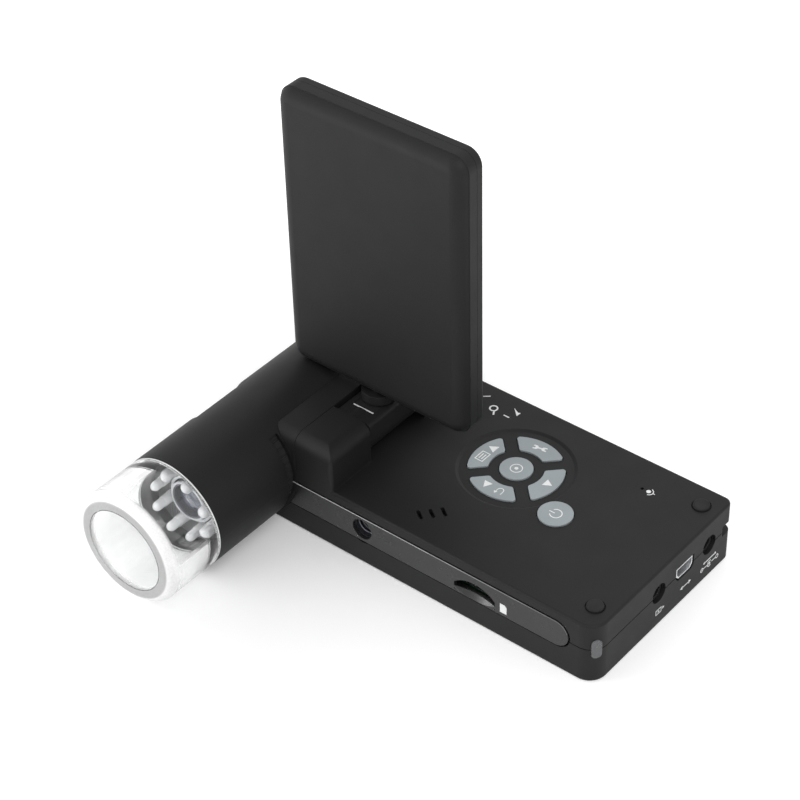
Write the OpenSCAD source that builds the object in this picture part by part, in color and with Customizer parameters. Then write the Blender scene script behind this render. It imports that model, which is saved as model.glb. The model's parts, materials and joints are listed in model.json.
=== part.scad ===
// Hand-held digital microscope with a lens barrel across one end of a flat case
// and a screen on a two-way hinge. Layout: the ports end of the case is x = 0 and
// the case runs to -x, its front side is y = 0, and the table is z = 0. The lens
// tip points to -y. place() then puts the origin under the middle of the whole.

/* [Case] */
// Distance from the ports end to the axis of the lens barrel
barrel_reach = 122.8; // [116:0.1:132]
// Width of the case
case_w = 66.4; // [66:0.1:72]
// Thickness of the case
case_t = 20.8; // [20.4:0.1:22]
// Wall of the case
wall = 1.8; // [1.5:0.1:2]
// Height of the joint between the two case halves
seam_z = 12; // [11.8:0.1:12.3]
// Radius of the upright corners at the front side
corner_r = 5.5; // [5:0.1:6.5]
// Radius of the upright corners at the far side
far_corner_r = 2.5; // [2.2:0.1:4]
// Rounding along the top and bottom edges of the case
edge_r = 0.8; // [0.6:0.1:1.4]
// Width of the line between the case halves
seam_gap = 0.3; // [0.1:0.05:0.35]
// Length of the case screws
case_screw_len = 13; // [11:0.5:14]

/* [Side cover] */
// Height of the side cover
strip_h = 8.8; // [8:0.1:9.6]
// Height of the side cover's middle above the table
strip_z = 12.8; // [12.4:0.1:13]
// Distance from the ports end to the side cover's round end
strip_start = 8.9; // [8:0.1:12]
// Thickness of the side cover
strip_t = 1.2; // [1:0.1:1.4]
// Distance from the barrel's axis to the tripod thread
tripod_back = 42.2; // [41.8:0.1:43.3]
// Radius of the tripod thread
tripod_r = 3.175; // [3.1:0.025:3.3]
// Depth of the tripod thread
tripod_depth = 9; // [7:0.5:10]
// Distance from the ports end to the middle of the card slot
card_x = 40.55; // [36:0.1:44]
// Width of the card slot
card_w = 11.8; // [11.4:0.1:12.4]
// Width of the finger scoop in front of the card slot
scoop_w = 14.2; // [13:0.1:15]
// Height of the card slot's arch over the finger scoop
scoop_h = 2.9; // [2.6:0.1:3]

/* [Ports] */
// Distance from the far side to the picture and sound jack
av_back = 36.4; // [34.9:0.1:38.4]
// Radius of the picture and sound jack's bore
av_bore_r = 1.8; // [1.75:0.05:2.2]
// Distance from the far side to the data socket
usb_back = 23.7; // [22.4:0.1:24.9]
// Width of the data socket
usb_w = 7.8; // [7:0.1:8.4]
// Distance from the far side to the power jack
dc_back = 11.6; // [11.4:0.1:12.9]
// Radius of the power jack's bore
dc_bore_r = 2.05; // [1.75:0.05:2.3]
// Height of the three sockets above the table
port_z = 12.3; // [12:0.1:12.6]
// Radius of the round noses of the two jacks
jack_nose_r = 2.95; // [2.8:0.05:3.1]
// Radius of the strap pin
strap_pin_r = 0.8; // [0.6:0.05:0.9]

/* [Keys] */
// Distance from the ports end to the middle of the key ring
keypad_x = 56.5; // [55:0.1:58]
// Distance from the far side to the middle of the key ring
keypad_back = 26.1; // [25:0.1:27]
// Radius of the dish around the keys
dish_r = 17.5; // [16.5:0.1:18]
// Depth of the dish
dish_depth = 0.5; // [0.3:0.1:0.7]
// Radius of the middle key
ok_r = 4.9; // [4.2:0.1:5.2]
// Inner radius of the four curved keys
arc_inner_r = 8.1; // [7.8:0.1:8.6]
// Outer radius of the four curved keys
arc_outer_r = 14.1; // [13.4:0.1:14.6]
// Width of the bridges between the curved keys
arc_gap = 4.2; // [3.6:0.1:4.8]
// Corner radius of the curved keys
arc_corner_r = 0.9; // [0.6:0.1:1.1]
// Distance from the ports end to the power key
power_x = 35.95; // [34.5:0.1:36.5]
// How far the power key lies in front of the middle of the key ring
power_front = 9.2; // [8.4:0.1:10]
// Radius of the power key
power_r = 5.1; // [4.4:0.1:5.4]
// How far a key can be pressed
key_travel = 0.4; // [0.3:0.05:0.45]
// Gap around each key
key_gap = 0.25; // [0.2:0.05:0.35]

/* [Top face] */
// Distance from the ports end to the speaker
speaker_x = 63.6; // [62:0.1:66]
// Distance from the front side to the speaker
speaker_y = 10.4; // [10.2:0.1:11]
// Radius of the speaker
speaker_r = 6.3; // [5.5:0.1:6.6]
// Distance from the ports end to the microphone
mic_x = 23.1; // [21:0.1:25]
// Distance from the far side to the microphone
mic_back = 11.6; // [10:0.1:14]
// Radius of the screen rest pads
pad_r = 2.5; // [2.2:0.1:3]

/* [Lens barrel] */
// Outer radius of the lens barrel
barrel_r = 18.15; // [17.8:0.05:18.4]
// Height of the barrel's underside above the table
barrel_lift = 0.6; // [0.4:0.1:1]
// How far the black barrel reaches past the front side
barrel_front = 32.2; // [31:0.1:36]
// Length of the clear cap past the barrel
cap_len = 19.8; // [16:0.1:22]
// Inner radius of the clear cap
cap_bore_r = 13; // [12:0.1:13.4]
// Radius of the flat ring at the cap's open end
cap_tip_r = 15; // [14.4:0.1:15.4]
// Gap between the barrel's far end and the case's far side
barrel_inset = 1; // [1:0.5:4]
// Radius of the focus ring
focus_r = 16.7; // [16.5:0.05:16.8]
// Length of the focus ring
focus_len = 18.8; // [18:0.1:19.4]
// Distance from the front side to the middle of the focus ring, away from the lens tip
focus_y = 1.9; // [1.5:0.1:2.5]
// Running clearance of turning and sliding parts
run_gap = 0.05; // [0.03:0.01:0.08]
// Focus travel each way
focus_travel = 3; // [2:0.1:3.4]
// Radius of the circle of lamps
led_circle_r = 10; // [9.6:0.1:10.4]
// Number of lamps
led_count = 8; // [6:1:10]
// Radius of one lamp
led_r = 1.6; // [1.3:0.1:1.6]

/* [Hinge] */
// Distance from the barrel's axis to the screen's folding axis
hinge_back = 24.8; // [24.3:0.1:25.3]
// Width of the hinge knuckles along the case
knuckle_w = 13.5; // [13:0.1:14]
// Height of the knuckles' top above the table
knuckle_top = 34.4; // [34.2:0.1:34.8]
// Rounding of the knuckles' top edges
knuckle_edge = 4; // [3:0.1:4.4]
// Distance from the front side to the screen's turning axis
swivel_y = 29.6; // [29:0.1:31]
// Half the length of the hinge arm
arm_half = 11.9; // [11:0.1:12.4]
// Side clearance of the hinge arm
arm_gap = 0.3; // [0.25:0.05:0.4]
// Radius of the hinge arm's drum
arm_r = 6.3; // [6.1:0.05:6.35]
// Radius of the folding pins
flip_pin_r = 1.5; // [1.3:0.05:1.6]
// Radius of the turning post
post_r = 2; // [1.8:0.05:2.1]

/* [Screen] */
// Width of the screen unit
screen_w = 64.3; // [63:0.1:66]
// Height of the screen unit
screen_h = 92.2; // [90:0.1:94]
// Thickness of the screen unit
screen_t = 9.2; // [9:0.1:10]
// Height of the screen unit's lower edge above the table
screen_z = 36.9; // [36.8:0.1:37.6]
// Offset of the screen's middle from its turning axis, towards the ports end
screen_offset = 2.4; // [1:0.1:2.6]
// Corner radius of the screen unit
screen_corner = 5; // [4.8:0.1:6.5]
// Rounding of the back of the screen unit
screen_edge = 4.4; // [3.5:0.1:4.6]
// Thickness of the screen's front frame
bezel_t = 3; // [2.8:0.1:3.2]
// Wall of the screen's back cover
screen_wall = 1.6; // [1.4:0.1:1.8]
// Width of the frame at each side of the display
side_frame = 9.15; // [8.6:0.05:10]
// Mean height of the frame below and above the display
end_frame = 15.35; // [14:0.05:17]

/* [Hidden] */
$fn = 48;
eps = 0.01;
// Clearance of a part laid in its seat
seat = 0.1;

// Longer than any piece that is cut with it
beyond = 2*barrel_r;

// Whole
half_x = (barrel_reach + barrel_r)/2;
tip_reach = barrel_front + cap_len;
mid_y = (case_w - tip_reach)/2;

// Case
front_wall = wall + strip_t;
ceiling = case_t - wall;
barrel_z = barrel_r + barrel_lift;
saddle_gap = 0.1;
cavity_end = barrel_reach - barrel_r - wall;
toe = wall + 0.5;
case_end = barrel_reach - sqrt(pow(barrel_r, 2) - pow(barrel_z - toe, 2));
hinge_x = barrel_reach - hinge_back;
lip_t = 0.8;
lip_h = 1.4;
boss_r = 3.1;
boss_in = 9.2;
boss_far = hinge_x - knuckle_w/2 - boss_r + 0.6;
jack_len = 12;
jack_in = wall + 0.2;
boss_past_jack = jack_in + jack_len + boss_r + 1.4;
boss_spots = [[boss_in, boss_in], [boss_past_jack, case_w - boss_in],
              [boss_far, boss_in], [boss_far, case_w - boss_in]];
screw_r = 1;
screw_head_r = 2.2;
screw_head_h = 1.5;
screw_seat = 3;
screw_sink = 0.4;

// Side cover
tripod_x = barrel_reach - tripod_back;
strip_gap = 0.4;
strip_shift = 0.25;
strip_edge = 0.2;
insert_r = tripod_r + 1.7;
insert_len = tripod_depth + 1;
insert_y = strip_t + seat;
cradle_w = 2*insert_r + 3;
cradle_len = 7;
scoop_z = strip_z - 1;
card_z = scoop_z + 0.45;
scoop_lip = scoop_z - 1.5;
scoop_depth = 1.05;
scoop_r = (pow(scoop_w, 2)/4 + pow(scoop_h, 2))/(2*scoop_h);
thumb_lean = 30;
thumb_in = scoop_depth*cos(thumb_lean);
thumb_r = (pow(scoop_w, 2)/4 + pow(thumb_in, 2))/(2*thumb_in);
thumb_lip = 0.35;
slot_drop = 1.2;

// Boards and battery
board_t = 1.6;
jack_under = 2.9;
board_z = port_z - jack_under - board_t;
board_in = 0.5;
board_past_tripod = 3.2;
board_len = tripod_x - wall - board_in + board_past_tripod;
board_w = case_w - front_wall - wall - 2*board_in;
post_r_board = 2.2;
post_far = case_w - 6.4;
post_spots = [[20, 12], [34, post_far], [76, post_far], [64, 12]];
battery_l = 46;
battery_w = 34;
battery_x = 24;
battery_y = (case_w - battery_w)/2;
battery_t = board_z - wall - 0.5;
card_len = 14.5;
card_t = card_z + 1.1 - board_z - board_t;
chip_t = 1.4;
chip_spots = [[30, -1.2, 9], [46, 14.8, 7], [62, 0.8, 10]];

// Sockets
av_y = case_w - av_back;
usb_y = case_w - usb_back;
dc_y = case_w - dc_back;
jack_w = 6.6;
jack_h = 5.4;
nose_in = 1.2;
jack_depth = 10;
dc_pin_r = 0.8;
usb_h = 3.9;
usb_len = 9;
usb_skin = 0.35;
usb_in = 0.25;
usb_margin = 0.45;
usb_taper = 1.1;
strap_r = 3.6;
strap_h = 3.6;
strap_at = 2.9;
strap_pin_at = 2.6;
lens_w = 3;
lens_h = 6.6;
lens_in = 2.2;
lens_proud = 0.2;
lens_turn = 36.5;

// Keys
keypad_y = case_w - keypad_back;
power_y = keypad_y - power_front;
dish_slope = 0.9;
key_proud = 0.35;
flange_t = 0.8;
flange_w = 0.7;
key_low = ceiling - run_gap - flange_t;
dome_gap = key_travel + 0.1;
dome_top = key_low - dome_gap;
sheet_t = 0.6;
dome_h = 1.1;
sheet_z = dome_top - dome_h - sheet_t;
key_board_t = 1.2;
key_board_z = sheet_z - key_board_t;
dome_r = 2.4;
arc_mid_r = (arc_inner_r + arc_outer_r)/2;
dome_spots = [[0, 0], [arc_mid_r, 0], [0, arc_mid_r], [-arc_mid_r, 0], [0, -arc_mid_r],
              [keypad_x - power_x, power_y - keypad_y]];
pillar_r = 2;
pillar_at = dish_r + pillar_r + 0.4;
pillar_right = pillar_at + 9.3;
pillar_spots = [[-pillar_at, 0], [0, pillar_at], [pillar_right, 0]];
key_screw_len = 3.6;
key_screw_head = 0.9;
sheet_margin = pillar_r + 0.8;

// Top face
pad_h = 0.7;
pad_sink = 0.6;
pad_gap = 0.3;
pad_spots = [[5.9, 7.9], [5.9, case_w - 7.5]];
slot_half = 1.4;
slot_r = 0.55;
slot_step = [-2.3, 2.56];
slot_turn = -34;
speaker_t = 3.2;
holder_t = 1;
mic_y = case_w - mic_back;
mic_r = 2;
mic_t = 1.6;
mic_hole_r = 0.5;

// Lens barrel, measured along y
barrel_far = case_w - barrel_inset;
barrel_edge = 1.6;
focus_bore_r = focus_r + run_gap;
focus_low = focus_y - focus_len/2;
focus_high = focus_y + focus_len/2;
focus_room = 0.2;
rear_bore_r = barrel_r - 3.3;
sensor_bore_r = barrel_r - 2.3;
sensor_y = 40;
cap_spigot = 2.5;
cap_spigot_r = focus_bore_r - seat;
led_board_t = 1.6;
led_board_in = 7.5;
led_board_y = led_board_in - barrel_front;
sleeve_low = led_board_y + led_board_t;
sleeve_high = focus_low - focus_room;
sleeve_bore_r = focus_bore_r - 1.75;
rail_w = 3;
rail_h = 1.2;
window_low = focus_y - 7.4;
window_high = focus_y + 7.4;
window_slope = 4.6;
window_from = 126;
window_span = 101;
relief_len = 3.4;
relief_from = -75;
relief_span = 125;
ring_bore_r = focus_r - 3.3;
groove_r = 0.45;
groove_count = 40;
drum_r = ring_bore_r - run_gap;
drum_half = 11.5;
drum_bore_r = 9;
flange_r = sleeve_bore_r - 0.3;
flange_y = -18.5;
flange_len = 2.4;
nose_r = 6.4;
nose_t = 0.6;
nose_len = 7;
nose_low = led_board_y - 2.8;
lens_r = 5.2;
lens_sink = 0.3;
lens_t = 2.6;
lens_curve = 9;
board_hole_r = nose_r + 0.5;
shroud_r = board_hole_r + 0.8;
shroud_len = 1.6;
led_len = 7.6;
led_step = 0.2;
led_rim = 0.35;
ring_t = 0.5;
cap_round = barrel_r - cap_tip_r;
sensor_t = 1.6;
chip_w = 7.5;
tail_t = 3;
tail_wall = 1.8;
barrel_screw_r = 1;
barrel_screw_z = barrel_z - 10.25;
barrel_screw_y = [18, 36];
barrel_screw_len = 7;

// Hinge
hinge_z = knuckle_top - 6.9;
knuckle_corner = 1.2;
cover_lip = 0.4;
cover_end = sqrt(pow(barrel_r + saddle_gap, 2) - pow(knuckle_top - cover_lip - barrel_z, 2));
bar_gap = 0.15;
knuckle_left = hinge_x + knuckle_w/2;
knuckle_right = hinge_x - knuckle_w/2;
arm_low = swivel_y - arm_half;
arm_high = swivel_y + arm_half;
front_knuckle = arm_low - arm_gap;
rear_knuckle = arm_high + arm_gap;
arm_top = 6.1;
bush_r = flip_pin_r + 1.1;
bush_len = 6;
flip_pin_in = 4;
post_bush_r = post_r + 1;
post_low = -5;
clip_t = 0.8;
plate_w = 7.4;
plate_len = 14.6;
plate_t = 0.8;
collar_r = 5;
collar_gap = 0.3;
post_in_screen = 6;

// Screen, measured from its lower edge and its back
back_t = screen_t - bezel_t;
view_w = screen_w - 2*side_frame;
view_h = screen_h - 2*end_frame;
screen_y = swivel_y - screen_t/2;
screen_mid = hinge_x - screen_offset;
screen_boss_r = 2.4;
screen_boss_in = 6.2;
glass_t = 1;
glass_rim = 2.4;
bezel_seam = 0.1;
glass_r = 2;
view_up = 3;
panel_w = view_w + 6;
panel_h = view_h + 6;
panel_t = 2.4;
screen_board_t = 1.2;
screen_board_y = screen_wall + 0.8;
web_t = 0.8;
panel_y = screen_t - glass_t - web_t - panel_t - 0.1;
cap_r = 1.7;
cap_t = 0.6;
screen_screw_len = 4.6;
board_margin = 5;
bracket_w = 16;
bracket_h = 7;
bracket_t = screen_t - 2*screen_wall - 1;

// ---------------------------------------------------------------- helpers

module place() {
    translate([half_x, -mid_y, 0]) children();
}

// Rounded rectangle from x = -l to 0 and y = 0 to w
module rrect(l, w, r) {
    translate([-l, r]) square([l, w - 2*r]);
    translate([r - l, 0]) square([l - 2*r, w]);
    for (x = [-r, r - l], y = [r, w - r]) translate([x, y]) circle(r);
}

// Section of a slab, w wide and t high, with rounded lower and upper edges
module slab_section(w, t, lo, hi) {
    translate([0, lo]) square([w, t - lo - hi]);
    translate([lo, 0]) square([w - 2*lo, t/2]);
    translate([hi, t/2]) square([w - 2*hi, t/2]);
    intersection() {
        square([w, t]);
        union() {
            if (lo > 0) for (x = [lo, w - lo]) translate([x, lo]) circle(lo);
            if (hi > 0) for (x = [hi, w - hi]) translate([x, t - hi]) circle(hi);
        }
    }
}

module slab_corner(r, t, lo, hi) {
    rotate_extrude() intersection() {
        translate([-r, 0]) slab_section(2*r, t, lo, hi);
        square([r, t]);
    }
}

// Slab from x = -l to 0, y = 0 to w, z = 0 to t, with upright corners of radius rc
// at the front and rf at the far side
module slab(l, w, t, rc, rf, lo, hi) {
    for (x = [-rc, rc - l]) translate([x, rc, 0]) slab_corner(rc, t, lo, hi);
    for (x = [-rf, rf - l]) translate([x, w - rf, 0]) slab_corner(rf, t, lo, hi);
    // front half and far half, then the body between the corners
    for (e = [[rc, 0], [rf, w/2]]) translate([e[0] - l, 0, 0]) rotate([90, 0, 90])
        linear_extrude(l - 2*e[0]) intersection() {
            slab_section(w, t, lo, hi);
            translate([e[1], 0]) square([w/2, t]);
        }
    translate([-l, w - rf, 0]) rotate([90, 0, 0])
        linear_extrude(w - rc - rf) slab_section(l, t, lo, hi);
}

// Cylinder along +y, and along -x
module rod_y(r, h) { rotate([-90, 0, 0]) cylinder(r = r, h = h); }
module rod_x(r, h) { rotate([0, -90, 0]) cylinder(r = r, h = h); }

// The barrel's own axis, with y kept
module at_barrel(y) { translate([-barrel_reach, y, barrel_z]) children(); }

// Tube about the barrel's axis between two places along y
module barrel_tube(y0, y1, r_out, r_in) {
    at_barrel(y0) difference() {
        rod_y(r_out, y1 - y0);
        translate([0, -1, 0]) rod_y(r_in, y1 - y0 + 2);
    }
}

// ---------------------------------------------------------------- case

module case_outside() {
    difference() {
        slab(case_end + 2*corner_r, case_w, case_t, corner_r, far_corner_r, edge_r, edge_r);
        translate([-case_end - beyond, -1, -1]) cube([beyond, case_w + 2, case_t + 2]);
    }
}

module saddle_cut() {
    at_barrel(-1) rod_y(barrel_r + saddle_gap, case_w + 2);
}

module cavity_plan(grow = 0) {
    translate([-wall + grow, front_wall - grow])
        rrect(cavity_end - wall + 2*grow, case_w - front_wall - wall + 2*grow,
              corner_r - wall + grow);
}

module strip_plan(grow = 0) {
    r = strip_h/2 + grow;
    translate([-strip_start - strip_h/2, strip_z]) circle(r);
    translate([-case_end - 1, strip_z - r])
        square([case_end + 1 - strip_start - strip_h/2, 2*r]);
}

module on_front(depth) {
    translate([0, depth, 0]) rotate([90, 0, 0]) linear_extrude(depth + 1) children();
}

module usb_section(grow = 0) {
    w = usb_w/2 + grow;
    h = usb_h/2 + grow;
    polygon([[-w, h], [w, h], [w, -h + usb_taper], [w - usb_taper, -h],
             [-w + usb_taper, -h], [-w, -h + usb_taper]]);
}

module at_port(y) { translate([0, y, port_z]) children(); }

module lens_plan(grow = 0) {
    r = lens_w/2 + grow;
    for (v = [-1, 1]) translate([0, v*(lens_h - lens_w)/2]) circle(r);
    translate([-r, -(lens_h - lens_w)/2]) square([2*r, lens_h - lens_w]);
}

// Outline on the rounded corner between the ports end and the front side
module at_lens(from, to) {
    translate([-corner_r, corner_r, port_z]) rotate([0, 0, -lens_turn]) rotate([90, 0, 90])
        translate([0, 0, from]) linear_extrude(to - from) children();
}

// Upright cylinder that leans outwards below, for the face of the finger scoop
module thumb(grow) {
    translate([-card_x, 0, scoop_lip]) rotate([-thumb_lean, 0, 0])
        translate([0, thumb_in - thumb_r, -strip_h])
            cylinder(r = thumb_r + grow, h = 2*strip_h, $fn = 96);
}

// Opening in the side cover: finger scoop with a thin face, the slot's arch over it
module card_opening() {
    intersection() {
        translate([-card_x, -1, scoop_z + scoop_h - scoop_r]) rod_y(scoop_r, strip_t + 2);
        translate([-card_x - scoop_w/2, -1, scoop_z]) cube([scoop_w, strip_t + 2, scoop_h]);
    }
    translate([-card_x - scoop_w/2, -1, scoop_lip])
        cube([scoop_w, strip_t + 2, scoop_z - scoop_lip + eps]);
    intersection() {
        thumb(0);
        translate([-card_x - scoop_w/2, -1, scoop_lip - strip_h])
            cube([scoop_w, strip_t + 2, strip_h + eps]);
    }
    difference() {
        translate([-card_x - scoop_w/2, 0, scoop_lip - slot_drop])
            cube([scoop_w, strip_t + 1, slot_drop + eps]);
        thumb(thumb_lip);
    }
}

// Window behind it in the case's wall
module card_window() {
    translate([-card_x - scoop_w/2, strip_t/2, scoop_lip - slot_drop])
        cube([scoop_w, front_wall + 1 - strip_t/2, scoop_z + scoop_h - scoop_lip + slot_drop]);
}

// Openings that both halves share
module case_openings() {
    on_front(strip_t + seat) translate([strip_shift, strip_shift]) strip_plan(strip_gap);
    translate([-tripod_x, -1, strip_z]) rod_y(insert_r + seat, insert_y + insert_len + 1.1);
    card_window();
    for (y = [av_y, dc_y]) at_port(y) translate([1, 0, 0]) rod_x(jack_nose_r + 2*seat, wall + 2);
    at_port(usb_y) translate([-wall - 1, 0, 0]) rotate([90, 0, 90])
        linear_extrude(wall + 2) usb_section(usb_margin);
    translate([-strap_at, case_w - strap_at, port_z - strap_h/2])
        cylinder(r = strap_r, h = strap_h);
    at_lens(0, corner_r + 1) lens_plan(run_gap);
}

// Pocket walls that close the strap opening off from the inside
module strap_pocket() {
    translate([-strap_at, case_w - strap_at, port_z - strap_h/2 - 1.2])
        cylinder(r = strap_r + 1.2, h = strap_h + 2.4);
}

module insert_cradle() {
    translate([-tripod_x - cradle_w/2, front_wall - eps, wall])
        cube([cradle_w, cradle_len, case_t - 2*wall]);
}

module case_parts_inside() {
    intersection() {
        union() {
            strap_pocket();
            insert_cradle();
        }
        case_outside();
    }
}

// Everything below, or above, the joint
module below_seam() {
    translate([-case_end - 1, -1, -1]) cube([case_end + 2, case_w + 2, seam_z - seam_gap/2 + 1]);
}
module above_seam() {
    translate([-case_end - 1, -1, seam_z + seam_gap/2])
        cube([case_end + 2, case_w + 2, beyond]);
}

module bottom_case() {
    color("#1c1c1e") place() difference() {
        union() {
            intersection() {
                difference() {
                    case_outside();
                    translate([0, 0, wall]) linear_extrude(case_t) cavity_plan();
                }
                below_seam();
            }
            intersection() {
                case_parts_inside();
                below_seam();
            }
            // lip that centres the upper half
            translate([0, 0, seam_z - 1]) linear_extrude(lip_h + 1) difference() {
                cavity_plan(lip_t);
                cavity_plan();
            }
            for (p = boss_spots) translate([-p[0], p[1], wall - eps])
                cylinder(r = boss_r, h = seam_z - seam_gap/2 - wall + eps);
            for (p = post_spots) translate([-p[0], p[1], wall - eps])
                cylinder(r = post_r_board, h = board_z - wall + eps);
        }
        saddle_cut();
        case_openings();
        for (p = boss_spots) translate([-p[0], p[1], -1]) {
            cylinder(r = screw_head_r + 0.2, h = screw_seat + 1);
            cylinder(r = screw_r + 0.1, h = seam_z + 2);
        }
        for (y = barrel_screw_y) translate([-cavity_end - barrel_screw_len, y, barrel_screw_z])
            rotate([0, 90, 0]) cylinder(r = barrel_screw_r + 0.05, h = barrel_screw_len + 2);
    }
}

module arc_key_plan(grow = 0) {
    q = arc_corner_r + grow;
    ri = arc_inner_r - grow;
    ro = arc_outer_r + grow;
    side = arc_gap/2 - grow;
    far = 45 - asin((side + q)/(ro - q));
    near = 45 - asin((side + q)/(ri + q));
    rim = [for (a = [far, -far]) (ro - q)*[cos(a), sin(a)]];
    root = [for (a = [near, -near]) (ri + q)*[cos(a), sin(a)]];
    for (p = concat(rim, root)) translate(p) circle(q);
    // body between the two side lines
    difference() {
        intersection() {
            circle(ro - q);
            translate([sqrt(2)*side, 0]) rotate(-45) square(2*ro);
        }
        circle(ri + q);
    }
    // outer band
    difference() {
        intersection() {
            circle(ro);
            polygon([[0, 0], 2*ro*[cos(far), -sin(far)], 2*ro*[cos(far), sin(far)]]);
        }
        circle(ri + q);
    }
    // inner band
    difference() {
        intersection() {
            circle(ro - q);
            polygon([[0, 0], 2*ro*[cos(near), -sin(near)], 2*ro*[cos(near), sin(near)]]);
        }
        circle(ri);
    }
}

module at_keypad() { translate([-keypad_x, keypad_y, 0]) children(); }

// Plan of one key, grown by a gap or a flange; kind 0 to 3 are the curved keys
module key_plan(kind, grow = 0) {
    if (kind < 4) at_keypad() rotate(90*kind) arc_key_plan(grow);
    if (kind == 4) at_keypad() circle(ok_r + grow);
    if (kind == 5) translate([-power_x, power_y]) circle(power_r + grow);
}

module knuckle_block() {
    // profile across the case, profile along it, and plan, each rounded outside
    intersection() {
        translate([0, case_w, 0]) rotate([90, 0, 0]) linear_extrude(case_w) union() {
            translate([-case_end - 10, ceiling])
                square([case_end + 10 - knuckle_right - knuckle_edge, knuckle_top - ceiling]);
            translate([-case_end - 10, ceiling])
                square([case_end + 10 - knuckle_right, knuckle_top - knuckle_edge - ceiling]);
            translate([-knuckle_right - knuckle_edge, knuckle_top - knuckle_edge])
                circle(knuckle_edge);
        }
        translate([-case_end - 10, 0, 0]) rotate([90, 0, 90]) linear_extrude(case_end) union() {
            square([case_w, knuckle_top - knuckle_edge]);
            translate([knuckle_edge, 0]) square([case_w - 2*knuckle_edge, knuckle_top]);
            for (y = [knuckle_edge, case_w - knuckle_edge])
                translate([y, knuckle_top - knuckle_edge]) circle(knuckle_edge);
        }
        linear_extrude(knuckle_top + 1) translate([-knuckle_right, 0])
            rrect(case_end, case_w, knuckle_corner);
    }
}

module knuckles() {
    intersection() {
        knuckle_block();
        union() {
            translate([-knuckle_left, -1, ceiling])
                cube([knuckle_w + 1, front_knuckle + 1, knuckle_top]);
            translate([-knuckle_left, rear_knuckle, ceiling])
                cube([knuckle_w + 1, case_w, knuckle_top]);
        }
    }
}

// Hollows in the knuckles, open to the inside of the case
module knuckle_hollows() {
    w = knuckle_w - 2*wall;
    top = knuckle_top - wall;
    far = rear_knuckle + bush_len;
    translate([-hinge_x - w/2, front_wall, ceiling - 3])
        cube([w, front_knuckle - bush_len - front_wall, top - ceiling + 3]);
    translate([-hinge_x - w/2, far, ceiling - 3])
        cube([w, case_w - wall - knuckle_edge/2 - far, top - ceiling + 3]);
}

module at_hinge(y) { translate([-hinge_x, y, hinge_z]) children(); }

module speaker_slots() {
    for (k = [-1, 0, 1])
        translate([-speaker_x - k*slot_step[0], speaker_y + k*slot_step[1], 0])
            rotate(slot_turn) translate([0, 0, ceiling - 1]) linear_extrude(wall + 2) union() {
                for (v = [-slot_half, slot_half]) translate([v, 0]) circle(slot_r);
                translate([-slot_half, -slot_r]) square([2*slot_half, 2*slot_r]);
            }
}

module top_case() {
    color("#1e1e20") place() difference() {
        union() {
            intersection() {
                difference() {
                    case_outside();
                    linear_extrude(ceiling) cavity_plan();
                }
                above_seam();
            }
            intersection() {
                case_parts_inside();
                above_seam();
            }
            knuckles();
            for (p = boss_spots) translate([-p[0], p[1], seam_z + seam_gap/2])
                cylinder(r = boss_r, h = ceiling - seam_z);
            at_keypad() for (p = pillar_spots)
                translate([p[0], p[1], key_board_z + key_board_t])
                    cylinder(r = pillar_r, h = ceiling - key_board_z - key_board_t + eps);
            translate([-speaker_x, speaker_y, ceiling - speaker_t])
                cylinder(r = speaker_r + seat + holder_t, h = speaker_t + eps);
            translate([-mic_x, mic_y, ceiling - mic_t])
                cylinder(r = mic_r + seat + holder_t, h = mic_t + eps);
        }
        saddle_cut();
        case_openings();
        knuckle_hollows();
        // rabbet for the lower half's lip
        translate([0, 0, seam_z - 1]) linear_extrude(lip_h + 1.2) difference() {
            cavity_plan(lip_t + seat);
            cavity_plan(-0.5);
        }
        for (p = boss_spots) translate([-p[0], p[1], seam_z - 1])
            cylinder(r = screw_r + 0.02, h = screw_seat + case_screw_len - seam_z + 1.6);
        for (k = [0:5]) translate([0, 0, ceiling - 1]) linear_extrude(wall + 2)
            key_plan(k, key_gap);
        at_keypad() translate([0, 0, case_t - dish_depth])
            cylinder(r1 = dish_r - dish_slope, r2 = dish_r + 0.02, h = dish_depth + eps);
        at_keypad() for (p = pillar_spots) translate([p[0], p[1], key_board_z])
            cylinder(r = screw_r + 0.02, h = key_screw_len + 0.4);
        speaker_slots();
        translate([-speaker_x, speaker_y, ceiling - speaker_t - 1])
            cylinder(r = speaker_r + seat, h = speaker_t + 1);
        translate([-mic_x, mic_y, ceiling - mic_t - 1])
            cylinder(r = mic_r + seat, h = mic_t + 1);
        translate([-mic_x, mic_y, ceiling - 1]) cylinder(r = mic_hole_r, h = wall + 2);
        for (p = pad_spots) translate([-p[0], p[1], case_t - pad_sink])
            cylinder(r = pad_r + pad_gap, h = 2);
        at_hinge(front_knuckle - bush_len - eps) rod_y(bush_r, bush_len + 2);
        at_hinge(rear_knuckle - 1) rod_y(bush_r, bush_len + 1);
    }
}

module side_cover() {
    color("#28282a") place() difference() {
        translate([0, strip_t, strip_z]) rotate([90, 0, 0]) {
            translate([-strip_start - strip_h/2, 0, 0]) rotate_extrude() intersection() {
                translate([-strip_h/2, 0]) slab_section(strip_h, strip_t, 0, strip_edge);
                square([strip_h/2, strip_t]);
            }
            translate([-case_end, -strip_h/2, 0]) rotate([90, 0, 90])
                linear_extrude(case_end - strip_start - strip_h/2)
                    slab_section(strip_h, strip_t, 0, strip_edge);
        }
        saddle_cut();
        card_opening();
        translate([-tripod_x, -1, strip_z]) rod_y(tripod_r + 0.25, strip_t + 2);
    }
}

module tripod_insert() {
    color("#8a7a55") place() translate([-tripod_x, insert_y, strip_z]) difference() {
        rod_y(insert_r, insert_len);
        translate([0, -1, 0]) rod_y(tripod_r, tripod_depth + 1);
    }
}

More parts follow.
